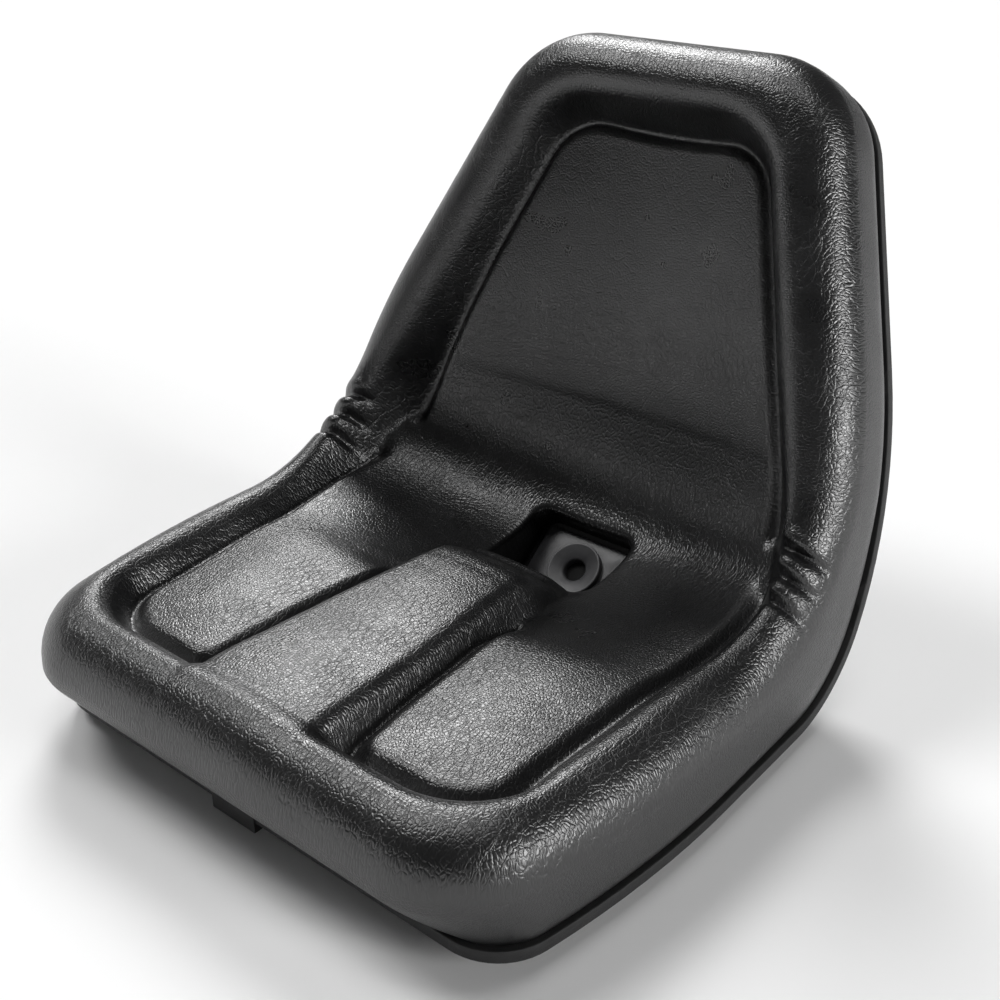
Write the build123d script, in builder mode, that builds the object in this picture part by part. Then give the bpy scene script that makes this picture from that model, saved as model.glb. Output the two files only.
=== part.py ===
# Bucket seat for a small tractor: a skinned foam cushion on a pressed steel pan with a push-on edge trim.
# X is to the right seen from the front, Y to the rear, Z up. The origin is the middle of the bolt pattern
# on the underside of the pan.
import os
from math import cos, radians, sin, sqrt, tan

from build123d import *

os.makedirs("parts", exist_ok=True)

# Rim of the pan seen from the side: a level seat, a bend and a reclined back
recline = 24.0
rim_height = 16.0
rim_corner_y = 179.0
rim_bend_radius = 80.0
# Rim seen from above
rim_half_width = 224.0
rim_front_y = -157.5
rim_front_corner = 40.0
side_taper = 12.0
# Rim seen square to the back, with heights along the slope from the rim corner
back_top = 412.0
back_side_radius = 500.0
back_side_turn = 20.5
back_top_corner = 74.0

# Roll round the edge of the cushion, measured from the rim
roll_height = 84.5
roll_bulge = 5.0
roll_width = 50.0
roll_bend_radius = 140.0
roll_outer_round = 34.0
roll_front_corner = 67.0
roll_inner_bevel = 14.0
front_overhang = 27.5
front_roll_width = 60.0
undercut_height = 52.0
trough_corner = 27.0

# Channels at the foot of the rolls
channel_depth = 5.0
thigh_channel_width = 10.0
back_channel_width = 13.0
back_channel_foot = 104.0
outer_channel_end_y = 150.0
inner_channel_end_y = 60.0

# Dish inside the rolls: an arched seat and an arched back that meet in a rounded bend.
# The corner is where their middle lines meet
dish_corner_y = 208.0
dish_corner_z = 42.0
seat_fall = 6.0
seat_arch_radius = 1500.0
back_recline = 13.0
back_arch_radius = 318.0
dish_bend_radius = 75.0
# Hump between the thighs
hump_front_half_width = 62.0
hump_rear_half_width = 36.0
hump_crown = 6.0
hump_height = 92.0
hump_level_end_y = 10.0
hump_fall_radius = 150.0
hump_fall_turn = 53.0

# Steel pan: a flange round the rim and a flat-bottomed bowl inside it
pan_wall = 1.5
flange_width = 16.0
flange_fit = 0.3
bowl_bend_radius = 110.0
bolt_spacing_x = 285.75
bolt_spacing_y = 203.2
bolt_hole_radius = 4.5
bolt_pocket_width = 19.0
bolt_pocket_height = 14.0

# Push-on trim of U section and the sleeve over its joint
trim_wall = 3.5
trim_depth = 12.0
trim_fit = 0.2
sleeve_length = 40.0
sleeve_middle_x = -10.0
sleeve_wall = 1.5
sleeve_drop = 7.0
seat_clearance = 0.3

# Drain well at the lowest place of the dish
well_angle = 39.0
well_width = 92.0
well_length = 66.0
well_corner = 12.0
plate_thickness = 4.0
plate_margin = 4.0
collar_radius = 22.5
collar_height = 5.0
drain_radius = 9.0
drain_reach = 30.0

turn = 90.0 - recline
half_turn_tan = tan(radians(turn / 2))
slope_y = sin(radians(recline))
slope_z = cos(radians(recline))
reach = 700.0
block_depth = 175.0
touch = 0.01

# Where the crest line of the rolls starts to bend
crest_corner_y = rim_corner_y - roll_height * half_turn_tan
fan_y = crest_corner_y - roll_bend_radius * half_turn_tan

back_plane = Plane(
    origin=(0, rim_corner_y, rim_height), x_dir=(1, 0, 0), z_dir=(0, -slope_z, slope_y)
)


def side_line(height, bend_radius=None):
    """The rim line seen from the side, moved towards the sitter by height."""
    corner_y = rim_corner_y - height * half_turn_tan
    corner_z = rim_height + height
    return FilletPolyline(
        (-reach, corner_z),
        (corner_y, corner_z),
        (corner_y + reach * slope_y, corner_z + reach * slope_z),
        radius=bend_radius or rim_bend_radius - height,
    )


def side_band(low, high, low_radius=None, high_radius=None):
    """A slab right across the seat, between two lines that follow the rim."""
    with BuildPart() as slab:
        with BuildSketch(Plane.YZ.offset(-reach / 2)):
            with BuildLine():
                lower = side_line(low, low_radius)
                upper = side_line(high, high_radius)
                Line(lower @ 0, upper @ 0)
                Line(lower @ 1, upper @ 1)
            make_face()
        extrude(amount=reach)
    return slab.part


def plan_outline(front_y, front_corner, grow):
    """The rim's outline from above, open far to the rear."""
    taper = radians(side_taper)
    side_radius = (fan_y - front_y - front_corner * (1 - sin(taper))) / sin(taper)
    front_half = rim_half_width - side_radius * (1 - cos(taper)) - front_corner * cos(taper)
    with BuildSketch() as outline:
        with BuildLine():
            front = Line((0, front_y - grow), (front_half, front_y - grow))
            corner = JernArc(front @ 1, (1, 0), front_corner + grow, 90 - side_taper)
            side = JernArc(corner @ 1, corner % 1, side_radius + grow, side_taper)
            Polyline(side @ 1, (rim_half_width + grow, reach), (0, reach), front @ 0)
        make_face()
        mirror(about=Plane.YZ)
    return outline.sketch


def back_outline(grow):
    """The rim's outline square to the back, open far downwards."""
    bend_end = rim_bend_radius * half_turn_tan
    side_rise = back_side_radius * sin(radians(back_side_turn))
    corner_rise = back_top_corner * (1 - sin(radians(back_side_turn)))
    straight = (back_top - bend_end - side_rise - corner_rise) / cos(radians(back_side_turn))
    with BuildSketch() as outline:
        with BuildLine():
            foot = Line((rim_half_width + grow, -reach), (rim_half_width + grow, bend_end))
            side = JernArc(foot @ 1, (0, 1), back_side_radius + grow, back_side_turn)
            upper = Line(side @ 1, side @ 1 + (side % 1) * straight)
            corner = JernArc(upper @ 1, upper % 1, back_top_corner + grow, 90 - back_side_turn)
            Polyline(corner @ 1, (0, back_top + grow), (0, -reach), foot @ 0)
        make_face()
        mirror(about=Plane.YZ)
    return outline.sketch


def outline_column(front_y, front_corner, grow):
    """Both outlines run out square to the seat and square to the back, as one column."""
    with BuildPart() as column:
        with BuildSketch(Plane.XY.offset(-reach)):
            add(plan_outline(front_y, front_corner, grow))
        extrude(amount=2 * reach)
        with BuildSketch(back_plane.offset(-reach)):
            add(back_outline(grow))
        extrude(amount=2 * reach, mode=Mode.INTERSECT)
    return column.part


# Crest line of the rolls seen from the side
with BuildLine(Plane.YZ) as crest:
    side_line(roll_height, roll_bend_radius)


def arched_block(run, rise, arch_radius, corner_y, corner_z):
    """A block with an arched hollow face, run out both ways from the dish corner.

    Rise is 1 for a seat and -1 for a back.
    """
    half = rim_half_width
    sag = (arch_radius - sqrt(arch_radius**2 - half**2)) * rise
    floor = -block_depth * rise
    with BuildPart() as block:
        with BuildSketch(Plane((0, corner_y, corner_z), x_dir=(1, 0, 0), z_dir=run).offset(-block_depth)):
            with BuildLine():
                arch = ThreePointArc((-half, sag), (0, 0), (half, sag))
                Polyline(arch @ 1, (half, floor), (-half, floor), arch @ 0)
            make_face()
        extrude(amount=reach)
    return block.part


def dish_block(drop):
    """The solid under the dish, with its faces moved away from the sitter by drop."""
    fall = radians(seat_fall)
    lean = radians(back_recline)
    spread = cos(lean - fall)
    corner_y = dish_corner_y + drop * (cos(fall) - sin(lean)) / spread
    corner_z = dish_corner_z - drop * (cos(lean) + sin(fall)) / spread
    with BuildPart() as block:
        add(arched_block((0, -cos(fall), sin(fall)), 1, seat_arch_radius, corner_y, corner_z))
        add(arched_block((0, sin(lean), cos(lean)), -1, back_arch_radius, corner_y, corner_z))
        corner = Vector(0, corner_y, corner_z)
        bend = block.edges().filter_by(lambda e: e.distance_to(corner) < touch)
        fillet(bend, radius=dish_bend_radius + drop)
        add(outline_column(trough_front_y, roll_front_corner, -wall_inset / 2), mode=Mode.INTERSECT)
    return block.part


def crest_rim_edges(part):
    """The sharp edges round the part's crest faces, which lie on the crest line seen from the side."""
    def on_crest(face):
        middle = face.center()
        return crest.line.distance_to(Vector(0, middle.Y, middle.Z)) < touch

    edges = [edge for face in part.faces().filter_by(on_crest) for edge in face.edges()]
    return ShapeList(e for e in edges if sum(e.is_same(other) for other in edges) == 1)

roll_front_y = rim_front_y - front_overhang
trough_front_y = roll_front_y + front_roll_width - roll_width
wall_inset = roll_width - roll_bulge
slot_low = -trim_fit
slot_high = pan_wall + trim_fit
trim_low = slot_low - trim_wall
trim_high = slot_high + trim_wall
roll_foot = trim_high + seat_clearance

# Spaces that several pieces share
opening = outline_column(trough_front_y, trough_corner + wall_inset, -wall_inset)
above_trim = side_band(roll_foot, roll_height, high_radius=roll_bend_radius)
with BuildPart() as bowl_outside:
    add(side_band(-rim_height, pan_wall, low_radius=bowl_bend_radius))
    add(outline_column(rim_front_y, rim_front_corner, -flange_width), mode=Mode.INTERSECT)
bowl_inside_radius = bowl_bend_radius - pan_wall
with BuildPart() as bowl_inside:
    add(side_band(pan_wall - rim_height, 2 * roll_foot, low_radius=bowl_inside_radius))
    add(outline_column(rim_front_y, rim_front_corner, -flange_width - pan_wall), mode=Mode.INTERSECT)

# Place of the drain: the plate bridges the round bend of the bowl
plate_width = well_width - 2 * plate_margin
plate_length = well_length - 2 * plate_margin
plate_seat = sqrt(bowl_inside_radius**2 - (plate_length / 2) ** 2) - seat_clearance
bowl_centre_y = rim_corner_y + (rim_height - bowl_bend_radius) * half_turn_tan
well_y = sin(radians(well_angle))
well_z = cos(radians(well_angle))
well_plane = Plane(
    origin=(0, bowl_centre_y + plate_seat * well_y, bowl_bend_radius - plate_seat * well_z),
    x_dir=(1, 0, 0),
    z_dir=(0, -well_y, well_z),
)

# Pan
with BuildPart() as seat_pan:
    add(side_band(0, pan_wall))
    add(outline_column(rim_front_y, rim_front_corner, -flange_fit), mode=Mode.INTERSECT)
    add(bowl_outside.part)
    add(bowl_inside.part, mode=Mode.SUBTRACT)
    with GridLocations(bolt_spacing_x, bolt_spacing_y, 2, 2):
        Hole(bolt_hole_radius)
    with BuildSketch(well_plane):
        Circle(drain_radius)
    extrude(amount=-drain_reach, mode=Mode.SUBTRACT)
seat_pan.part.label = "seat_pan"
export_step(seat_pan.part, "parts/seat_pan.step")


# Trim round the rim
def rim_ring(low, high, outer, inner):
    """A ring along the rim between two heights, from one outset of the rim's outline to another."""
    with BuildPart() as ring:
        add(side_band(low, high))
        add(outline_column(rim_front_y, rim_front_corner, outer), mode=Mode.INTERSECT)
        add(outline_column(rim_front_y, rim_front_corner, inner), mode=Mode.SUBTRACT)
    return ring.part


with BuildPart() as edge_trim:
    add(rim_ring(trim_low, trim_high, trim_fit + trim_wall, trim_fit - trim_depth))
    add(rim_ring(slot_low, slot_high, trim_fit, -2 * trim_depth), mode=Mode.SUBTRACT)
edge_trim.part.label = "edge_trim"
export_step(edge_trim.part, "parts/edge_trim.step")

# Sleeve over the joint of the trim, at the front
sleeve_outer = rim_front_y - trim_fit - trim_wall - sleeve_wall
sleeve_inner = rim_front_y + trim_depth
sleeve_top = rim_height + trim_high + sleeve_wall
sleeve_foot = rim_height + trim_low - sleeve_drop
with BuildPart() as trim_joint_sleeve:
    with BuildSketch(Plane.YZ.offset(sleeve_middle_x - sleeve_length / 2)):
        with BuildLine():
            Polyline(
                (sleeve_inner, rim_height + trim_high),
                (sleeve_inner, sleeve_top),
                (sleeve_outer, sleeve_top),
                (sleeve_outer, sleeve_foot),
                (sleeve_inner, sleeve_foot),
                (sleeve_inner, rim_height + trim_low),
                (sleeve_outer + sleeve_wall, rim_height + trim_low),
                (sleeve_outer + sleeve_wall, rim_height + trim_high),
                close=True,
            )
        make_face()
    extrude(amount=sleeve_length)
trim_joint_sleeve.part.label = "trim_joint_sleeve"
export_step(trim_joint_sleeve.part, "parts/trim_joint_sleeve.step")

# Drain plate, moulded with a round collar
with BuildPart() as drain_plate:
    with BuildSketch(well_plane):
        Rectangle(plate_width, plate_length)
    extrude(amount=plate_thickness)
    with BuildSketch(well_plane):
        Circle(collar_radius)
    extrude(amount=plate_thickness + collar_height)
    with BuildSketch(well_plane):
        Circle(drain_radius)
    extrude(amount=plate_thickness + collar_height, mode=Mode.SUBTRACT)
drain_plate.part.label = "drain_plate"
export_step(drain_plate.part, "parts/drain_plate.step")

# Roll of the cushion
with BuildPart() as roll:
    add(above_trim)
    add(outline_column(roll_front_y, roll_front_corner, roll_bulge), mode=Mode.INTERSECT)
    fillet(crest_rim_edges(roll.part), radius=roll_outer_round)
    add(opening, mode=Mode.SUBTRACT)
    inner_edges = crest_rim_edges(roll.part).filter_by(lambda e: opening.distance_to(e @ 0.5) < touch)
    chamfer(inner_edges, length=roll_inner_bevel)
    # Front drawn in under itself to the rim
    with BuildSketch(Plane.YZ.offset(-reach / 2)):
        with BuildLine():
            under = TangentArc(
                (roll_front_y - roll_bulge, rim_height + undercut_height),
                (rim_front_y, rim_height + roll_foot),
                tangent=(0, -1),
            )
            Polyline(under @ 1, (rim_front_y, -reach), (-reach, -reach), (-reach, (under @ 0).Y), under @ 0)
        make_face()
    extrude(amount=reach, mode=Mode.SUBTRACT)

# Hump between the thighs
hump_front_y = trough_front_y + wall_inset / 2
hump_rear_y = hump_level_end_y + hump_fall_radius * sin(radians(hump_fall_turn))


def hump_plan(grow):
    """The hump's outline from above."""
    with BuildSketch() as plan:
        with BuildLine():
            Polyline(
                (hump_front_half_width, hump_front_y),
                (hump_rear_half_width, hump_rear_y),
                (-hump_rear_half_width, hump_rear_y),
                (-hump_front_half_width, hump_front_y),
                close=True,
            )
        make_face()
        if grow:
            offset(amount=grow)
    return plan.sketch


with BuildPart() as hump:
    with BuildSketch():
        add(hump_plan(0))
    extrude(amount=hump_height)
    with BuildSketch(Plane.XZ.offset(-reach)):
        with BuildLine():
            crown = ThreePointArc(
                (-hump_front_half_width, hump_height - hump_crown),
                (0, hump_height),
                (hump_front_half_width, hump_height - hump_crown),
            )
            Polyline(crown @ 1, (hump_front_half_width, 0), (-hump_front_half_width, 0), crown @ 0)
        make_face()
    extrude(amount=2 * reach, mode=Mode.INTERSECT)
    with BuildSketch(Plane.YZ.offset(-reach / 2)):
        with BuildLine():
            level = Line((-reach, hump_height), (hump_level_end_y, hump_height))
            fall = JernArc(level @ 1, (1, 0), hump_fall_radius, -hump_fall_turn)
            Polyline(fall @ 1, (hump_rear_y, 0), (-reach, 0), level @ 0)
        make_face()
    extrude(amount=reach, mode=Mode.INTERSECT)

# Channels along the foot of the rolls and of the hump
trough_inset = wall_inset - seat_clearance
with BuildPart() as channels:
    with BuildSketch(back_plane.offset(-reach)):
        add(back_outline(-trough_inset))
        add(back_outline(-wall_inset - back_channel_width), mode=Mode.SUBTRACT)
        with Locations((0, back_channel_foot)):
            Rectangle(reach, 2 * reach, align=(Align.CENTER, Align.MAX), mode=Mode.SUBTRACT)
    extrude(amount=2 * reach)
    with BuildSketch():
        add(plan_outline(trough_front_y, trough_corner + wall_inset, -trough_inset))
        add(
            plan_outline(trough_front_y, trough_corner + wall_inset, -wall_inset - thigh_channel_width),
            mode=Mode.SUBTRACT,
        )
        with Locations((0, outer_channel_end_y)):
            Rectangle(reach, 2 * reach, align=(Align.CENTER, Align.MIN), mode=Mode.SUBTRACT)
    extrude(amount=reach)
    with BuildSketch():
        add(hump_plan(thigh_channel_width))
        with Locations((0, inner_channel_end_y)):
            Rectangle(reach, reach, align=(Align.CENTER, Align.MIN), mode=Mode.SUBTRACT)
    extrude(amount=reach)
    add(dish_block(channel_depth), mode=Mode.SUBTRACT)

# Cushion
with BuildPart() as foam_space:
    add(above_trim)
    add(bowl_inside.part)
with BuildPart() as cushion:
    add(dish_block(0))
    add(channels.part, mode=Mode.SUBTRACT)
    add(hump.part)
    add(foam_space.part, mode=Mode.INTERSECT)
    add(roll.part)
    # Room for the sleeve
    with Locations((sleeve_middle_x, sleeve_inner + seat_clearance, 0)):
        Box(
            sleeve_length + 2 * seat_clearance,
            reach,
            sleeve_top + seat_clearance,
            align=(Align.CENTER, Align.MAX, Align.MIN),
            mode=Mode.SUBTRACT,
        )
    # Drain well and pockets for the bolt ends
    with BuildSketch(well_plane.offset(-drain_reach)):
        RectangleRounded(well_width, well_length, well_corner)
    extrude(amount=block_depth, mode=Mode.SUBTRACT)
    with BuildSketch():
        with GridLocations(bolt_spacing_x, bolt_spacing_y, 2, 2):
            Rectangle(bolt_pocket_width, bolt_pocket_width)
    extrude(amount=pan_wall + bolt_pocket_height, mode=Mode.SUBTRACT)
cushion.part.label = "cushion"
export_step(cushion.part, "parts/cushion.step")
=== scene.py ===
from math import cos, pi, radians, sin, tan

import bpy
import numpy as np
from bpy.props import FloatProperty, FloatVectorProperty, PointerProperty
from mathutils import Matrix, Vector
from mathutils.geometry import delaunay_2d_cdt


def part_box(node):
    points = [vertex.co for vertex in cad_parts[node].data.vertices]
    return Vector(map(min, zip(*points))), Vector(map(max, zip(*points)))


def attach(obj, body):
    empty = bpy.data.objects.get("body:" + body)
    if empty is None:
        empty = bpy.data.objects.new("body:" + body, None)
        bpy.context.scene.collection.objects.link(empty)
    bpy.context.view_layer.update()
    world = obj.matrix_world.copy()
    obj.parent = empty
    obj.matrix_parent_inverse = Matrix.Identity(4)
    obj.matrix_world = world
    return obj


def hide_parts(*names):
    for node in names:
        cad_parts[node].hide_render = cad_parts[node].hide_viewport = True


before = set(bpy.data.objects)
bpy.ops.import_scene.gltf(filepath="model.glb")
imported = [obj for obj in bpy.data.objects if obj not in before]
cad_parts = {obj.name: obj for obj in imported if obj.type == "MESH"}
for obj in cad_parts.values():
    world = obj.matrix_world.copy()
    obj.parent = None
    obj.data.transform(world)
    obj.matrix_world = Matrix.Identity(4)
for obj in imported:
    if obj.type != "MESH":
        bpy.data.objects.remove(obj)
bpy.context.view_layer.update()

bl_info = {
    "name": "Tractor seat",
    "version": (1, 0, 0),
    "blender": (4, 5, 0),
    "location": "3D View > Sidebar > Seat",
    "description": "Builds the soft cover, the drain and the finishes of a bucket seat round its solid parts",
    "category": "Object",
}

# Side view of the seat in millimetres: a level seat, a bend and a reclined back
RECLINE = radians(24)
TURN = pi / 2 - RECLINE
HALF_TAN = tan(TURN / 2)
SLOPE_Y = sin(RECLINE)
SLOPE_Z = cos(RECLINE)
RIM_HEIGHT = 16.0
RIM_CORNER_Y = 179.0
RIM_BEND = 80.0
RIM_FRONT_Y = -157.5
CREST_HEIGHT = 84.5
CREST_BEND = 140.0
CREST_FRONT_Y = -185.0
ROLL_FOOT = 5.3
# Outline of the rim from above and square to the back
HALF_WIDTH = 224.0
RIM_CORNER = 40.0
ROLL_CORNER = 67.0
SIDE_TAPER = radians(12)
BACK_TOP = 412.0
BACK_SIDE_RADIUS = 500.0
BACK_SIDE_TURN = radians(20.5)
BACK_TOP_CORNER = 74.0
ROLL_BULGE = 5.0
OPENING_FRONT_Y = -175.0
OPENING_CORNER = 90.0
OPENING_TOP_CORNER = 105.0
OPENING_INSET = 45.0
PAD_CORNER = 28.0
OUTLINE_STEP = 3.0
# Rounded outer edge of the rolls: width and drop, then how far in the mesh of the top starts
ROUND_WIDTH = 36.0
ROUND_DROP = 42.0
EDGE_INSET = 4.0
EDGE_TURNS = (0.7, 0.4)
MESH_STEP = 2.6
WALL_RINGS = 16
# Growth of the rim's outline at the foot of the wall, at the ledge under it and at the hidden bowl
FOOT_GROW = -0.8
LEDGE_GROW = -13.0
BOWL_GROW = -19.0
BOWL_HEIGHT = 2.0
BOWL_BEND = 108.0
# Pleats of the side rolls where the seat bends up, along the crest line
PLEATS = (82.0, 99.0, 116.0)
PLEAT_PATCH = ((184, 226), (80, 136))
# Drain well: leans with the bend of the pan
WELL_ANGLE = radians(39)
WELL_SIZE = (92.0, 66.0)
WELL_CORNER = 12.0
WELL_ROUND = 6.0
WELL_FLOOR = -0.1
# Rings of the well's rounded mouth, as parts of a quarter turn
WELL_TURNS = (0.35, 0.7, 1.0)
# Search for the well's mouth: highest place over the plate and number of halvings
WELL_HIGHEST = 130.0
WELL_HALVINGS = 24
PLATE_THICKNESS = 4.0
PLATE_SIZE = (84.0, 58.0)
# Inset and lift of the plate's edges, then radius and lift of the collar down through the hole
PLATE_PROFILE = ((0.0, 0.0), (0.0, 2.4), (0.6, 3.2), (3.2, 4.0))
COLLAR_PROFILE = (
    (22.2, 4.0), (22.5, 4.6), (22.5, 8.0), (22.2, 8.7), (21.6, 9.0), (20.6, 8.8),
    (15.0, 7.4), (11.0, 6.2), (9.6, 5.4), (9.0, 4.4), (9.0, 0.0),
)
# Floor and backdrop in metres: radius and height
FLOOR_PROFILE = ((1.0, -0.001), (6.0, -0.001), (7.4, 0.06), (7.9, 0.4), (8.0, 0.9), (8.0, 1.6))
# Soft lights: direction, cosines of the outer and inner edge and strength
SOFTBOXES = (
    ((-0.53, 0.53, 0.663), (0.972, 0.994), 17.0),
    ((-0.52, -0.13, 0.844), (0.972, 0.994), 11.0),
    ((0.95, 0.16, 0.268), (0.965, 0.992), 18.0),
    ((0.05, 0.10, 0.99), (0.972, 0.994), 6.0),
)
MM = 0.001

CREST_BEND_Y = RIM_CORNER_Y - (CREST_HEIGHT + CREST_BEND) * HALF_TAN
CREST_BEND_V = (CREST_HEIGHT + CREST_BEND) * HALF_TAN
CREST_BEND_LENGTH = CREST_BEND * TURN
RIM_BEND_V = RIM_BEND * HALF_TAN


def smooth(low, high, value):
    """A soft step from 0 at low to 1 at high."""
    t = np.clip((value - low) / (high - low), 0, 1)
    return t * t * (3 - 2 * t)


def soft_max(a, b, width):
    """The larger of two heights with a rounded change between them."""
    return np.maximum(a, b) + np.maximum(width - np.abs(a - b), 0) ** 2 / (4 * width)


def table(start, step, values, at):
    """A smooth curve through evenly spaced values, held level past its ends."""
    values = np.asarray(values)
    spot = np.clip((at - start) / step, 0, len(values) - 1)
    low = np.clip(spot.astype(int), 0, len(values) - 2)
    t = spot - low
    before = values[np.maximum(low - 1, 0)]
    after = values[np.minimum(low + 2, len(values) - 1)]
    a, b = values[low], values[low + 1]
    rise_a, rise_b = (b - before) / 2, (after - a) / 2
    return (
        a * (1 + 2 * t) * (1 - t) ** 2
        + rise_a * t * (1 - t) ** 2
        + b * t * t * (3 - 2 * t)
        - rise_b * t * t * (1 - t)
    )


def path(along, height, bend):
    """Points and sitter-side normals on the rim's side line moved by height.

    The place along the line counts from where its bend starts.
    """
    start_y = RIM_CORNER_Y - (height + bend) * HALF_TAN
    angle = np.clip(along / bend, 0, TURN)
    beyond = along - angle * bend
    y = start_y + bend * np.sin(angle) + beyond * np.cos(angle)
    z = RIM_HEIGHT + height + bend * (1 - np.cos(angle)) + beyond * np.sin(angle)
    return y, z, -np.sin(angle), np.cos(angle)


def back_half_width(v, grow):
    """Half width of the outline at a height up the back, below its top corners."""
    rise = np.clip((v - RIM_BEND_V) / (BACK_SIDE_RADIUS + grow), 0, sin(BACK_SIDE_TURN))
    return HALF_WIDTH - BACK_SIDE_RADIUS + (BACK_SIDE_RADIUS + grow) * np.sqrt(1 - rise**2)


def outline_rows(height, bend, front_y, corner, grow, step, top_corner=BACK_TOP_CORNER):
    """Half the outline from the front middle to the top middle: x and place along the side line."""
    side_radius = (CREST_BEND_Y - front_y - corner * (1 - sin(SIDE_TAPER))) / sin(SIDE_TAPER)
    front_half = HALF_WIDTH - side_radius * (1 - cos(SIDE_TAPER)) - corner * cos(SIDE_TAPER)
    start_y = RIM_CORNER_Y - (height + bend) * HALF_TAN
    bend_v = (height + bend) * HALF_TAN
    xs, alongs = [], []

    def count(length):
        return max(int(round(length / step)), 2)

    n = count(front_half)
    xs.append(np.linspace(0, front_half, n, endpoint=False))
    alongs.append(np.full(n, front_y - grow - start_y))
    n = count(ROLL_CORNER * pi / 2)
    angle = np.linspace(-pi / 2, -SIDE_TAPER, n, endpoint=False)
    xs.append(front_half + (corner + grow) * np.cos(angle))
    alongs.append(front_y + corner + (corner + grow) * np.sin(angle) - start_y)
    n = count(side_radius * SIDE_TAPER)
    angle = np.linspace(-SIDE_TAPER, 0, n, endpoint=False)
    xs.append(HALF_WIDTH - side_radius + (side_radius + grow) * np.cos(angle))
    alongs.append(CREST_BEND_Y + (side_radius + grow) * np.sin(angle) - start_y)
    n = count(CREST_BEND_LENGTH)
    along = np.linspace(CREST_BEND_Y - start_y, bend * TURN + CREST_BEND_V - bend_v, n, endpoint=False)
    y, z, _, _ = path(along, height, bend)
    xs.append(back_half_width((y - RIM_CORNER_Y) * SLOPE_Y + (z - RIM_HEIGHT) * SLOPE_Z, grow))
    alongs.append(along)
    rise = (CREST_BEND_V - RIM_BEND_V) / (BACK_SIDE_RADIUS + grow)
    n = count(BACK_SIDE_RADIUS * (BACK_SIDE_TURN - np.arcsin(rise)))
    angle = np.linspace(np.arcsin(rise), BACK_SIDE_TURN, n, endpoint=False)
    xs.append(HALF_WIDTH - BACK_SIDE_RADIUS + (BACK_SIDE_RADIUS + grow) * np.cos(angle))
    alongs.append(RIM_BEND_V + (BACK_SIDE_RADIUS + grow) * np.sin(angle) - bend_v + bend * TURN)
    side_end_v = RIM_BEND_V + BACK_SIDE_RADIUS * sin(BACK_SIDE_TURN)
    corner_v = BACK_TOP - top_corner
    corner_x = HALF_WIDTH - BACK_SIDE_RADIUS * (1 - cos(BACK_SIDE_TURN))
    straight = (corner_v + top_corner * sin(BACK_SIDE_TURN) - side_end_v) / cos(BACK_SIDE_TURN)
    n = count(straight)
    run = np.linspace(0, straight, n, endpoint=False)
    xs.append(corner_x + grow * cos(BACK_SIDE_TURN) - run * sin(BACK_SIDE_TURN))
    alongs.append(
        side_end_v + grow * sin(BACK_SIDE_TURN) + run * cos(BACK_SIDE_TURN) - bend_v + bend * TURN
    )
    centre_x = corner_x - straight * sin(BACK_SIDE_TURN) - top_corner * cos(BACK_SIDE_TURN)
    n = count(top_corner * (pi / 2 - BACK_SIDE_TURN))
    angle = np.linspace(BACK_SIDE_TURN, pi / 2, n, endpoint=False)
    xs.append(centre_x + (top_corner + grow) * np.cos(angle))
    alongs.append(corner_v + (top_corner + grow) * np.sin(angle) - bend_v + bend * TURN)
    n = count(centre_x)
    xs.append(np.linspace(centre_x, 0, n + 1))
    alongs.append(np.full(n + 1, BACK_TOP + grow - bend_v + bend * TURN))
    return np.concatenate(xs), np.concatenate(alongs)


def whole_loop(rows):
    """A half outline and its mirror image as one closed loop."""
    mirrored = rows[-2:0:-1].copy()
    mirrored[:, 0] *= -1
    return np.concatenate([rows, mirrored])


def distance_to_loop(points, loop):
    """Distance from each point to a closed polyline, and whether it lies inside."""
    start, end = loop, np.roll(loop, -1, axis=0)
    run = end - start
    length = np.maximum((run**2).sum(1), 1e-12)
    best, inside = [], []
    for part in np.array_split(points, max(len(points) // 2000, 1)):
        to = part[:, None, :] - start[None]
        t = np.clip((to * run[None]).sum(2) / length, 0, 1)
        gap = to - t[..., None] * run[None]
        best.append(np.sqrt((gap**2).sum(2).min(1)))
        crosses = (start[:, 1] > part[:, None, 1]) != (end[:, 1] > part[:, None, 1])
        rise = np.where(run[:, 1] == 0, 1e-12, run[:, 1])
        at = start[:, 0] + (part[:, None, 1] - start[:, 1]) / rise * run[:, 0]
        inside.append((crosses & (part[:, None, 0] < at)).sum(1) % 2 == 1)
    return np.concatenate(best), np.concatenate(inside)


OUTER = whole_loop(np.stack(
    outline_rows(CREST_HEIGHT, CREST_BEND, CREST_FRONT_Y, ROLL_CORNER, ROLL_BULGE, OUTLINE_STEP), axis=1
))
OPENING = whole_loop(np.stack(
    outline_rows(
        CREST_HEIGHT,
        CREST_BEND,
        OPENING_FRONT_Y,
        OPENING_CORNER,
        -OPENING_INSET,
        OUTLINE_STEP,
        OPENING_TOP_CORNER,
    ),
    axis=1,
))


def inner_drop(reach, radius, steepest):
    """How far a rounded edge has dropped at a reach from where it starts."""
    bent = np.clip(reach, 0, radius * np.sin(steepest))
    return radius - np.sqrt(radius**2 - bent**2) + np.maximum(reach - bent, 0) * np.tan(steepest)


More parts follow.
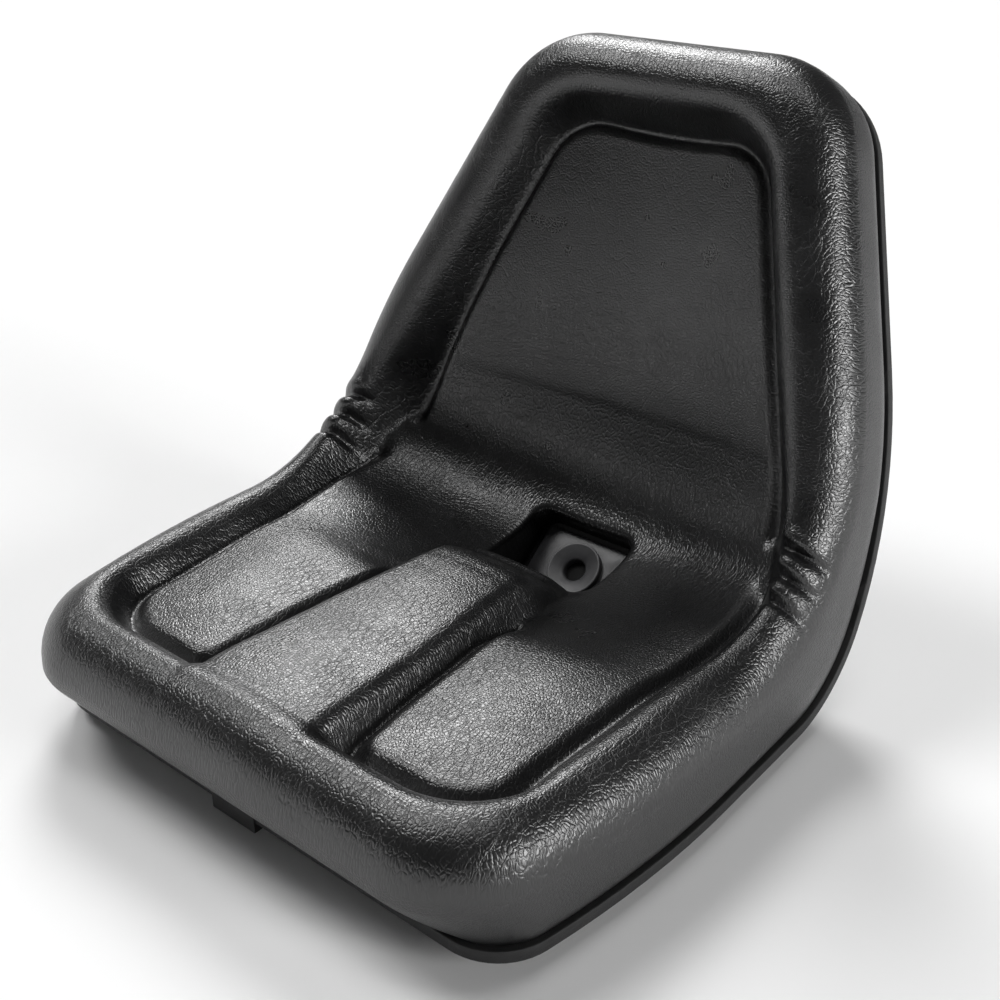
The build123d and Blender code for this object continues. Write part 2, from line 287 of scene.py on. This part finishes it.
def cover_height(x, s, props):
    """Height of the cover over the crest line of the rolls, at x across and s along."""
    points = np.stack([x, s], axis=1)
    from_edge, _ = distance_to_loop(points, OUTER)
    from_opening, in_opening = distance_to_loop(points, OPENING)
    on_roll = np.where(in_opening, -from_opening, from_opening)
    width = np.abs(x)
    over = np.clip(1 - from_edge / ROUND_WIDTH, 0, 1)
    outer_drop = ROUND_DROP * (1 - np.sqrt(1 - over**2))

    to_back = smooth(60, 150, s)
    steep = np.radians(table(-145, 45, [62, 55, 52, 52, 60, 68, 67, 66, 66], s))
    roll_reach = table(-145, 45, [30, 25, 23, 23, 28, 31.5, 27, 20, 17, 17], s)
    roll_round = table(-145, 45, [18, 22, 24, 24, 18, 13, 15, 19, 20], s)
    roll = -outer_drop - inner_drop(roll_reach - on_roll, roll_round, steep)

    hump_half = table(-190, 60, [50, 48, 45, 40, 36, 34], s)
    hump_middle = table(
        -205, 20, [4, 0.5, -1, -1, 0, 0.5, 1, 1, 1, 1, 1.5, 3, 11, 43, 100, 160, 220, 280], s
    )
    hump_steep = radians(68)
    hump = -hump_middle - 3 * np.minimum(width / hump_half, 1.3) ** 2 - outer_drop
    hump = hump - inner_drop(width - hump_half + 6, 12, hump_steep)

    dish_half = HALF_WIDTH - table(-190, 60, [62, 60, 58, 56, 50, 46, 54, 72, 90, 108, 124], s)
    dish_side = table(-190, 60, [14, 12, 10, 9, 17, 46, 34, 27, 25, 25, 25], s)
    dish_middle = table(-190, 60, [14, 12, 11, 16, 57, 100, 77, 62, 50, 40, 30], s)
    across = np.minimum(width / dish_half, 1)
    dish = -dish_middle + (dish_middle - dish_side) * across**2 * (1.5 - 0.5 * across) - outer_drop

    # Pads: raised pillows with rounded corners, set off by a groove
    on_seat = 1 - smooth(0, 55, s)
    roll_gap = (dish - roll) / np.tan(steep)
    hump_gap = (dish - hump) / np.tan(hump_steep) + 80 * (1 - on_seat)
    corner = PAD_CORNER
    edge = corner - np.hypot(np.maximum(corner - roll_gap, 0), np.maximum(corner - hump_gap, 0))
    ends = 1 - smooth(90, 106, s) + smooth(116, 128, s)
    deep = props.groove_depth / MM * (1 - 0.35 * to_back + 0.2 * (1 - smooth(-150, -110, s)))
    groove = deep * (1 - smooth(4 - to_back, 20 - 9 * to_back, edge)) * ends
    near_roll = 1 - smooth(0, 60, roll_gap)
    near_hump = 1 - smooth(0, 60, hump_gap)
    crown = 4 * (1 - (1 - near_roll) * (1 - near_hump)) * (1 - smooth(40, 100, s))
    bed = dish - groove - crown

    wall = soft_max(roll, hump, 12)
    height = soft_max(bed, wall, 5)

    fold = np.zeros_like(height)
    for place in PLEATS:
        lean = place + (208 - width) * 0.12
        along = np.exp(-(((s - lean) / 3.3) ** 2))
        puff = np.exp(-(((s - lean - 8.5) / 5.0) ** 2))
        over_roll = smooth(184, 195, width) * (1 - 0.75 * smooth(206, 226, width))
        fold += over_roll * (1.5 * puff - 7 * along)
    return height + fold


def cover_points(x, s, height):
    """Places in the frame of points on the cover, in millimetres."""
    y, z, normal_y, normal_z = path(s, CREST_HEIGHT, CREST_BEND)
    return np.stack([x, y + height * normal_y, z + height * normal_z], axis=1)


def well_frame():
    """Middle, slope direction and outward direction of the drain plate's underside, in millimetres."""
    low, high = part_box("drain_plate")
    middle = np.array([0, (low[1] + high[1]) / 2, (low[2] + high[2]) / 2]) / MM
    outward = np.array([0, -sin(WELL_ANGLE), cos(WELL_ANGLE)])
    return middle - outward * PLATE_THICKNESS / 2, np.array([0, cos(WELL_ANGLE), sin(WELL_ANGLE)]), outward


def well_points(loop):
    """A loop seen along the well's axis as points on the plate's underside, with the axis."""
    origin, slope, outward = well_frame()
    return origin + loop[:, :1] * np.array([1.0, 0, 0]) + loop[:, 1:] * slope, outward


def well_outline(grow):
    """The well's rounded rectangle seen along its axis."""
    radius = WELL_CORNER + grow
    half_x, half_y = (size / 2 + grow - radius for size in WELL_SIZE)
    turns = np.linspace(0, pi / 2, 9)
    rows = []
    for index, (sx, sy) in enumerate(((1, 1), (-1, 1), (-1, -1), (1, -1))):
        angle = turns + index * pi / 2
        rows.append(np.stack([sx * half_x + radius * np.cos(angle), sy * half_y + radius * np.sin(angle)], 1))
    loop = np.concatenate(rows)
    dense = []
    for a, b in zip(loop, np.roll(loop, -1, axis=0)):
        n = max(int(np.linalg.norm(b - a) / 3), 1)
        dense += [a + (b - a) * k / n for k in range(n)]
    return np.array(dense)


def crest_place(points):
    """Place along the crest line and depth behind it of points near the bend."""
    y = points[:, 1] - CREST_BEND_Y
    z = RIM_HEIGHT + CREST_HEIGHT + CREST_BEND - points[:, 2]
    return np.arctan2(y, z) * CREST_BEND, np.hypot(y, z) - CREST_BEND


def well_on_cover(loop, props):
    """Where lines along the well's axis meet the cover.

    Gives heights over the plate's underside and places along the crest line.
    """
    foot, outward = well_points(loop)
    low, high = np.zeros(len(loop)), np.full(len(loop), WELL_HIGHEST)
    for _ in range(WELL_HALVINGS):
        middle = (low + high) / 2
        s, depth = crest_place(foot + middle[:, None] * outward)
        above = -depth > cover_height(loop[:, 0], s, props)
        high = np.where(above, middle, high)
        low = np.where(above, low, middle)
    s, _ = crest_place(foot + low[:, None] * outward)
    return low, s


def new_object(name, vertices, faces):
    """A smooth-shaded mesh object in the scene, from points in metres."""
    mesh = bpy.data.meshes.new(name)
    mesh.from_pydata([tuple(v) for v in vertices], [], [tuple(int(i) for i in f) for f in faces])
    mesh.validate()
    mesh.polygons.foreach_set("use_smooth", [True] * len(mesh.polygons))
    obj = bpy.data.objects.new(name, mesh)
    bpy.context.scene.collection.objects.link(obj)
    return obj


def cover_mesh(props):
    """Vertices, faces and flat places of the whole cover."""
    step = MESH_STEP
    loop = OUTER
    ahead = np.roll(loop, -1, axis=0) - np.roll(loop, 1, axis=0)
    ahead /= np.linalg.norm(ahead, axis=1)[:, None]
    inward = np.stack([-ahead[:, 1], ahead[:, 0]], axis=1)
    boundary = loop + EDGE_INSET * inward

    wide = well_outline(WELL_ROUND)
    mouth, mouth_s = well_on_cover(wide, props)
    hole = np.stack([wide[:, 0], mouth_s], axis=1)

    low, high = loop.min(0), loop.max(0)
    rows = np.arange(low[1], high[1], step * 0.866)
    grid = []
    for index, s in enumerate(rows):
        x = np.arange(0, high[0], step) + (index % 2) * step / 2
        x = np.concatenate([-x[x > 0][::-1], x]) if index % 2 else np.concatenate([-x[:0:-1], x])
        grid.append(np.stack([x, np.full(len(x), s)], axis=1))
    # The pleats get a finer patch on each side
    (x_low, x_high), (s_low, s_high) = PLEAT_PATCH
    patch_x = np.arange(x_low, x_high, step / 2)
    patch_s = np.arange(s_low, s_high, step / 2)
    fine = np.stack(np.meshgrid(patch_x, patch_s), -1).reshape(-1, 2)
    coarse = np.concatenate(grid)
    in_fine = (np.abs(coarse[:, 0]) > x_low - 1) & (np.abs(coarse[:, 0]) < x_high + 1)
    in_fine &= (coarse[:, 1] > s_low - 1) & (coarse[:, 1] < s_high + 1)
    points = np.concatenate([coarse[~in_fine], fine, fine * np.array([-1, 1])])
    gap, inside = distance_to_loop(points, boundary)
    hole_gap, in_hole = distance_to_loop(points, hole)
    clear = 0.6 * step
    points = points[inside & (gap > clear) & ~in_hole & (hole_gap > clear)]

    flat = np.concatenate([boundary, hole, points])
    n, m = len(boundary), len(hole)
    edges = [(i, (i + 1) % n) for i in range(n)] + [(n + i, n + (i + 1) % m) for i in range(m)]
    result = delaunay_2d_cdt([Vector(p) for p in flat], edges, [], 0, 1e-5)
    flat = np.array([tuple(v) for v in result[0]])
    origin = {}
    for new, olds in enumerate(result[3]):
        for old in olds:
            origin[old] = new
    faces = np.array(result[2])
    middles = flat[faces].mean(1)
    _, keep = distance_to_loop(middles, boundary)
    _, drop = distance_to_loop(middles, hole)
    faces = [list(f) for f in faces[keep & ~drop]]
    height = cover_height(flat[:, 0], flat[:, 1], props)
    vertices = cover_points(flat[:, 0], flat[:, 1], height)

    # Wall from the rounded edge down to the trim, and the hidden underside
    rings = []
    _, _, normal_y, normal_z = path(loop[:, 1], CREST_HEIGHT, CREST_BEND)
    for angle in np.arccos(1 - EDGE_INSET / ROUND_WIDTH) * np.array(EDGE_TURNS):
        place = loop + ROUND_WIDTH * (1 - cos(angle)) * inward
        level = np.full(n, -ROUND_DROP * (1 - sin(angle)))
        rings.append((cover_points(place[:, 0], place[:, 1], level), place))
    top = cover_points(loop[:, 0], loop[:, 1], np.full(n, -ROUND_DROP))
    foot = matched_loop(ROLL_FOOT, RIM_BEND - ROLL_FOOT, FOOT_GROW)
    towards = np.stack([np.zeros(n), normal_y, normal_z], axis=1)
    sideways = np.stack([ahead[:, 1], np.zeros(n), np.zeros(n)], axis=1)
    change = foot - top
    sink = (change * towards).sum(1)[:, None] * towards
    draw = change - sink
    at_front = smooth(8, 22, np.linalg.norm(draw, axis=1)[:, None])
    for u in np.linspace(0, 1, WALL_RINGS):
        bend_in = at_front * u**1.25 + (1 - at_front) * np.clip((u - 0.45) / 0.55, 0, 1) ** 2
        belly = props.wall_belly / MM * np.sin(pi * u)
        ring = top + sink * u + draw * bend_in + belly * sideways
        rings.append((ring, loop - (8 + 60 * u) * inward))
    rings.append((matched_loop(ROLL_FOOT, RIM_BEND - ROLL_FOOT, LEDGE_GROW), loop))
    bowl = matched_loop(BOWL_HEIGHT - RIM_HEIGHT, BOWL_BEND, BOWL_GROW)
    rings.append((bowl, loop))

    flats = [flat]
    stack = [vertices]

    def add_ring(previous, ring, place, outside):
        """Adds a ring of points and joins it to the one before, facing outside or into the well."""
        start = sum(len(part) for part in stack)
        ids = list(range(start, start + len(ring)))
        for i in range(len(ring)):
            j = (i + 1) % len(ring)
            if outside:
                faces.append([previous[i], ids[i], ids[j], previous[j]])
            else:
                faces.append([previous[i], previous[j], ids[j], ids[i]])
        stack.append(ring)
        flats.append(place)
        return ids

    previous = [origin[i] for i in range(n)]
    for ring, place in rings:
        previous = add_ring(previous, ring, place, True)
    half = n // 2
    for i in range(1, half - 1):
        a, b = previous[i], previous[i + 1]
        c, d = previous[n - i - 1], previous[n - i]
        if abs(bowl[i, 1] - bowl[i + 1, 1]) + abs(bowl[i, 2] - bowl[i + 1, 2]) > 1e-6:
            faces.append([a, d, c, b])

    # Well: rounded mouth, walls and floor
    narrow = well_outline(0.0)
    previous = [origin[n + i] for i in range(m)]
    for part in WELL_TURNS:
        angle = part * pi / 2
        base, outward = well_points(wide + (narrow - wide) * sin(angle))
        ring = base + (mouth - WELL_ROUND * (1 - cos(angle)))[:, None] * outward
        previous = add_ring(previous, ring, hole, False)
    base, outward = well_points(narrow)
    for part in np.linspace(0, 1, 9)[1:]:
        lift = (mouth - WELL_ROUND) * (1 - part) + WELL_FLOOR * part
        place = np.stack([wide[:, 0], mouth_s + 6 * part], axis=1)
        previous = add_ring(previous, base + lift[:, None] * outward, place, False)
    # Floor of the well: its face is later given the near-black painted shade of the drain hole
    faces.append(previous)
    return np.concatenate(stack) * MM, faces, np.concatenate(flats) * MM


def matched_loop(height, bend, grow):
    """A rim loop at another level with as many points as the outer one, section by section."""
    half_x, half_s = outline_rows(height, bend, RIM_FRONT_Y, RIM_CORNER, grow, OUTLINE_STEP)
    half_y, half_z, _, _ = path(half_s, height, bend)
    spots = np.linspace(0, 1, len(OUTER) // 2 + 1)
    own = section_fractions(RIM_FRONT_Y, RIM_CORNER, grow)
    theirs = section_fractions(CREST_FRONT_Y, ROLL_CORNER, ROLL_BULGE)
    at = np.interp(np.interp(spots, theirs[1], theirs[0]), own[0], own[1])
    own_spots = np.linspace(0, 1, len(half_x))
    rows = [np.interp(at, own_spots, c) for c in (half_x, half_y, half_z)]
    return whole_loop(np.stack(rows, axis=1))


def section_fractions(front_y, corner, grow):
    """Shared steps along the outline, section by section, against the fraction of its points."""
    side_radius = (CREST_BEND_Y - front_y - corner * (1 - sin(SIDE_TAPER))) / sin(SIDE_TAPER)
    front_half = HALF_WIDTH - side_radius * (1 - cos(SIDE_TAPER)) - corner * cos(SIDE_TAPER)
    rise = (CREST_BEND_V - RIM_BEND_V) / (BACK_SIDE_RADIUS + grow)
    side_end_v = RIM_BEND_V + BACK_SIDE_RADIUS * sin(BACK_SIDE_TURN)
    corner_v = BACK_TOP - BACK_TOP_CORNER
    straight = (corner_v + BACK_TOP_CORNER * sin(BACK_SIDE_TURN) - side_end_v) / cos(BACK_SIDE_TURN)
    corner_x = HALF_WIDTH - BACK_SIDE_RADIUS * (1 - cos(BACK_SIDE_TURN))
    centre_x = corner_x - straight * sin(BACK_SIDE_TURN) - BACK_TOP_CORNER * cos(BACK_SIDE_TURN)
    lengths = [
        front_half,
        ROLL_CORNER * pi / 2,
        side_radius * SIDE_TAPER,
        CREST_BEND_LENGTH,
        BACK_SIDE_RADIUS * (BACK_SIDE_TURN - np.arcsin(rise)),
        straight,
        BACK_TOP_CORNER * (pi / 2 - BACK_SIDE_TURN),
        centre_x,
    ]
    counts = [max(int(round(length / OUTLINE_STEP)), 2) for length in lengths]
    return np.arange(len(counts) + 1.0), np.concatenate([[0], np.cumsum(counts)]) / sum(counts)


class Value:
    """A shader socket that takes part in Python arithmetic."""

    def __init__(self, shader, socket):
        self.shader = shader
        self.socket = socket

    def math(self, operation, *values):
        return self.shader.node("ShaderNodeMath", {"operation": operation}, dict(enumerate(values)))

    def __add__(self, other):
        return self.math("ADD", self, other)

    def __radd__(self, other):
        return self.math("ADD", other, self)

    def __sub__(self, other):
        return self.math("SUBTRACT", self, other)

    def __rsub__(self, other):
        return self.math("SUBTRACT", other, self)

    def __mul__(self, other):
        return self.math("MULTIPLY", self, other)

    def __rmul__(self, other):
        return self.math("MULTIPLY", other, self)


class Shader:
    """A material's or a world's node tree."""

    def __init__(self, owner):
        owner.use_nodes = True
        self.owner = owner
        self.tree = owner.node_tree
        self.tree.nodes.clear()

    def node(self, kind, settings=None, inputs=None, output=0):
        """Adds a node, sets its settings first, then sets or links its inputs, and returns one output."""
        node = self.tree.nodes.new(kind)
        for key, value in (settings or {}).items():
            setattr(node, key, value)
        for key, value in (inputs or {}).items():
            if isinstance(value, Value):
                self.tree.links.new(value.socket, node.inputs[key])
            else:
                node.inputs[key].default_value = value
        return Value(self, node.outputs[output]) if node.outputs else None

    def noise(self, vector, scale, detail=2.0, roughness=0.5):
        return self.node(
            "ShaderNodeTexNoise",
            {},
            {"Vector": vector, "Scale": scale, "Detail": detail, "Roughness": roughness},
        )

    def cells(self, vector, scale):
        return self.node(
            "ShaderNodeTexVoronoi",
            {"feature": "DISTANCE_TO_EDGE", "voronoi_dimensions": "2D"},
            {"Vector": vector, "Scale": scale},
        )

    def range(self, value, low, high, to_low, to_high):
        return self.node(
            "ShaderNodeMapRange",
            {"interpolation_type": "SMOOTHSTEP"},
            {0: value, 1: low, 2: high, 3: to_low, 4: to_high},
        )

    def stretch(self, vector, scale, turn=0.0):
        return self.node(
            "ShaderNodeMapping",
            {"vector_type": "POINT"},
            {"Vector": vector, "Rotation": (0.0, 0.0, turn), "Scale": scale},
        )

    def mix(self, factor, a, b):
        return self.node("ShaderNodeMix", {"data_type": "RGBA"}, {0: factor, 6: a, 7: b}, output=2)

    def bump(self, height, strength, distance):
        inputs = {"Height": height, "Strength": strength, "Distance": distance}
        return self.node("ShaderNodeBump", {}, inputs)

    def finish(self, inputs):
        shader = self.node("ShaderNodeBsdfPrincipled", {}, inputs)
        self.node("ShaderNodeOutputMaterial", {}, {"Surface": shader})
        return self.owner


def rgba(colour):
    return (colour[0], colour[1], colour[2], 1.0)


def vinyl_material(props):
    """Black vinyl with a fine leather grain and drawn wrinkles."""
    shader = Shader(bpy.data.materials.new("cover_vinyl"))
    place = shader.node("ShaderNodeTexCoord", {}, {}, output=3)
    flat = shader.node("ShaderNodeUVMap", {"uv_map": "flat"}, {})
    blotch = shader.noise(place, 22.0, 2.0)
    wander = shader.node(
        "ShaderNodeVectorMath",
        {"operation": "MULTIPLY_ADD"},
        {0: shader.node("ShaderNodeTexNoise", {}, {"Vector": place, "Scale": 150.0, "Detail": 1.0}, output=1),
         1: (0.003, 0.003, 0.003), 2: flat},
    )
    pebble = shader.range(shader.cells(wander, 420.0), 0.0, 0.3, 0.0, 1.0)
    lines = shader.cells(shader.stretch(wander, (1.0, 0.4, 1.0), radians(35)), 250.0)
    drawn = shader.range(blotch, 0.4, 0.6, 0.35, 1.0)
    creases = shader.range(lines, 0.0, 0.1, 1.0, 0.0) * drawn
    grain = pebble * 0.5 - creases * 0.7 + blotch * 2.0
    normal = shader.bump(grain, props.grain_strength, 0.001)
    colour = shader.mix(blotch, rgba([c * 0.7 for c in props.colour]), rgba([c * 1.3 for c in props.colour]))
    rough = props.roughness + (blotch - 0.5) * 0.2 + creases * 0.06
    return shader.finish({
        "Base Color": colour,
        "Roughness": rough,
        "Normal": normal,
        "IOR": 1.5,
        "Specular IOR Level": 0.8,
    })


def plain_material(name, colour, roughness, grain, depth):
    """A dull finish with an even speckle."""
    shader = Shader(bpy.data.materials.new(name))
    place = shader.node("ShaderNodeTexCoord", {}, {}, output=3)
    speckle = shader.noise(place, grain, 4.0, 0.6)
    wear = shader.range(shader.noise(place, grain / 12, 3.0), 0.3, 0.7, 0.0, 1.0)
    base = shader.mix(wear, rgba([c * 0.8 for c in colour]), rgba([c * 1.25 for c in colour]))
    rough = roughness + (speckle - 0.5) * 0.2
    normal = shader.bump(speckle, 0.5, depth)
    return shader.finish({"Base Color": base, "Roughness": rough, "Normal": normal})


class SeatCover(bpy.types.PropertyGroup):
    """Sizes and look of the cover."""

    groove_depth: FloatProperty(
        name="Groove depth", description="Depth of the grooves beside the pads", default=0.0105, unit="LENGTH"
    )
    wall_belly: FloatProperty(
        name="Wall belly", description="How far the outer walls swell", default=0.001, unit="LENGTH"
    )
    colour: FloatVectorProperty(
        name="Colour", description="Colour of the vinyl", default=(0.005, 0.005, 0.0053), subtype="COLOR"
    )
    roughness: FloatProperty(
        name="Roughness", description="Dullness of the vinyl", default=0.31, subtype="FACTOR"
    )
    grain_strength: FloatProperty(
        name="Grain", description="Strength of the leather grain", default=0.28, subtype="FACTOR"
    )


class SeatHardware(bpy.types.PropertyGroup):
    """Colours of the hard pieces."""

    trim_colour: FloatVectorProperty(
        name="Trim", description="Colour of the edge trim", default=(0.008, 0.008, 0.0083), subtype="COLOR"
    )
    pan_colour: FloatVectorProperty(
        name="Pan", description="Colour of the pan's paint", default=(0.02, 0.02, 0.021), subtype="COLOR"
    )
    plate_colour: FloatVectorProperty(
        name="Plate", description="Colour of the drain plate", default=(0.06, 0.06, 0.063), subtype="COLOR"
    )


class SeatStage(bpy.types.PropertyGroup):
    """Light and camera."""

    lens: FloatProperty(name="Lens", description="Focal length of the camera in millimetres", default=47.16)
    camera_turn: FloatProperty(
        name="Camera turn",
        description="Turn to the right of the front",
        default=radians(39.55),
        subtype="ANGLE",
    )
    camera_rise: FloatProperty(
        name="Camera rise", description="Angle looking down", default=radians(27.94), subtype="ANGLE"
    )
    camera_place: FloatVectorProperty(
        name="Camera place",
        description="Place of the camera",
        default=(0.5214, -0.5438, 0.568),
        unit="LENGTH",
    )
    sky: FloatProperty(name="Sky", description="Strength of the light from all round", default=0.06)


class SEAT_OT_cover(bpy.types.Operator):
    """Models the soft cover in place of the plain cushion"""

    bl_idname = "seat.cover"
    bl_label = "Cover"

    def execute(self, context):
        props = context.scene.seat_cover
        vertices, faces, flat = cover_mesh(props)
        cover = new_object("cover", vertices, faces)
        layer = cover.data.uv_layers.new(name="flat")
        loops = np.zeros(len(cover.data.loops), dtype=np.int32)
        cover.data.loops.foreach_get("vertex_index", loops)
        layer.data.foreach_set("uv", flat[loops].ravel())
        cover.data.materials.append(vinyl_material(props))
        # The well's floor face gets a near-black matte finish: painted shade standing in for the darkness
        # seen down the drain's through-hole
        cover.data.materials.append(plain_material("well_painted_shade", (0.002, 0.002, 0.002), 0.9, 900.0, 0.0001))
        cover.data.polygons[len(cover.data.polygons) - 1].material_index = 1
        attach(cover, "root")
        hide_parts("cushion")
        return {"FINISHED"}


class SEAT_OT_drain(bpy.types.Operator):
    """Models the drain plate with its dished collar"""

    bl_idname = "seat.drain"
    bl_label = "Drain"

    def execute(self, context):
        turns = 96
        angles = np.arange(turns) * 2 * pi / turns
        circle = np.stack([np.cos(angles), np.sin(angles)], axis=1)
        loops = []
        for inset, lift in PLATE_PROFILE:
            half = np.array(PLATE_SIZE) / 2 - inset
            loops.append((circle * (half / np.maximum(np.abs(circle), 1e-9)).min(1)[:, None], lift))
            for corner in (half * (sx, sy) for sx in (1, -1) for sy in (1, -1)):
                loop = loops[-1][0]
                loop[np.argmin(((loop - corner) ** 2).sum(1))] = corner
        loops += [(circle * radius, lift) for radius, lift in COLLAR_PROFILE]
        vertices = []
        for loop, lift in loops:
            points, outward = well_points(loop)
            vertices += list((points + lift * outward) * MM)
        faces = []
        for k in range(len(loops)):
            low, high = k * turns, (k + 1) % len(loops) * turns
            for i in range(turns):
                j = (i + 1) % turns
                faces.append((low + i, low + j, high + j, high + i))
        drain = new_object("drain_insert", vertices, faces)
        drain.data.set_sharp_from_angle(angle=radians(40))
        colour = context.scene.seat_hardware.plate_colour
        drain.data.materials.append(plain_material("drain_plastic", colour, 0.42, 900.0, 0.0001))
        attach(drain, "root")
        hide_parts("drain_plate")
        return {"FINISHED"}


class SEAT_OT_hardware(bpy.types.Operator):
    """Finishes the trim, its sleeve and the pan"""

    bl_idname = "seat.hardware"
    bl_label = "Hard pieces"

    def execute(self, context):
        props = context.scene.seat_hardware
        finishes = {
            "edge_trim": plain_material("trim_rubber", props.trim_colour, 0.62, 1400.0, 0.0004),
            "trim_joint_sleeve": plain_material("sleeve_plastic", props.trim_colour, 0.5, 1100.0, 0.0002),
            "seat_pan": plain_material("pan_paint", props.pan_colour, 0.45, 700.0, 0.0001),
        }
        for name, material in finishes.items():
            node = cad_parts[name]
            node.data.materials.clear()
            node.data.materials.append(material)
            weld = node.modifiers.new("weld", "WELD")
            weld.merge_threshold = 0.00001
            bevel = node.modifiers.new("edges", "BEVEL")
            bevel.width = 0.0008
            bevel.segments = 2
            bevel.limit_method = "ANGLE"
            bevel.angle_limit = radians(40)
        return {"FINISHED"}


class SEAT_OT_stage(bpy.types.Operator):
    """Sets up the floor, the lights and the camera"""

    bl_idname = "seat.stage"
    bl_label = "Stage"

    def execute(self, context):
        props = context.scene.seat_stage
        scene = context.scene
        scene.view_settings.view_transform = "Standard"
        floor = self.floor()
        shader = Shader(bpy.data.materials.new("floor_white"))
        floor.data.materials.append(shader.finish({"Base Color": (0.9, 0.9, 0.9, 1.0), "Roughness": 0.9}))
        self.world(scene, props)
        camera = bpy.data.objects.new("camera", bpy.data.cameras.new("camera"))
        scene.collection.objects.link(camera)
        camera.data.sensor_width = 36.0
        camera.data.lens = props.lens
        turn = Matrix.Rotation(props.camera_turn, 4, "Z")
        tilt = Matrix.Rotation(pi / 2 - props.camera_rise, 4, "X")
        camera.matrix_world = Matrix.Translation(props.camera_place) @ turn @ tilt
        scene.camera = camera
        return {"FINISHED"}

    def world(self, scene, props):
        world = bpy.data.worlds.new("white_room")
        scene.world = world
        shader = Shader(world)
        direction = shader.node("ShaderNodeTexCoord", {}, {}, output=0)
        glow = props.sky
        for direction_to, spread, strength in SOFTBOXES:
            towards = shader.node(
                "ShaderNodeVectorMath",
                {"operation": "DOT_PRODUCT"},
                {0: direction, 1: direction_to},
                output=1,
            )
            glow = glow + shader.range(towards, spread[0], spread[1], 0.0, strength)
        light = shader.node("ShaderNodeBackground", {}, {"Color": (1.0, 1.0, 1.0, 1.0), "Strength": glow})
        shader.node("ShaderNodeOutputWorld", {}, {"Surface": light})

    def floor(self):
        """A round floor that curves up into a low backdrop far off."""
        turns = 96
        vertices = [(0.0, 0.0, FLOOR_PROFILE[0][1])]
        for radius, height in FLOOR_PROFILE:
            for k in range(turns):
                angle = k * 2 * pi / turns
                vertices.append((radius * cos(angle), radius * sin(angle), height))
        faces = []
        for k in range(turns):
            after = (k + 1) % turns
            faces.append((0, 1 + k, 1 + after))
            for ring in range(len(FLOOR_PROFILE) - 1):
                low, high = 1 + ring * turns, 1 + (ring + 1) * turns
                faces.append((low + k, high + k, high + after, low + after))
        return new_object("floor", vertices, faces)


class SEAT_PT_panel(bpy.types.Panel):
    """Lists what builds the seat"""

    bl_label = "Seat"
    bl_idname = "SEAT_PT_panel"
    bl_space_type = "VIEW_3D"
    bl_region_type = "UI"
    bl_category = "Seat"

    def draw(self, context):
        for operator in OPERATORS:
            self.layout.operator(operator.bl_idname)


OPERATORS = (SEAT_OT_cover, SEAT_OT_drain, SEAT_OT_hardware, SEAT_OT_stage)
GROUPS = {"seat_cover": SeatCover, "seat_hardware": SeatHardware, "seat_stage": SeatStage}


def register():
    for group in GROUPS.values():
        bpy.utils.register_class(group)
    for operator in OPERATORS:
        bpy.utils.register_class(operator)
    bpy.utils.register_class(SEAT_PT_panel)
    for name, group in GROUPS.items():
        setattr(bpy.types.Scene, name, PointerProperty(type=group))


def unregister():
    for name in GROUPS:
        delattr(bpy.types.Scene, name)
    bpy.utils.unregister_class(SEAT_PT_panel)
    for operator in reversed(OPERATORS):
        bpy.utils.unregister_class(operator)
    for group in reversed(list(GROUPS.values())):
        bpy.utils.unregister_class(group)


def main():
    register()
    bpy.ops.seat.cover()
    bpy.ops.seat.drain()
    bpy.ops.seat.hardware()
    bpy.ops.seat.stage()


if __name__ == "__main__":
    main()
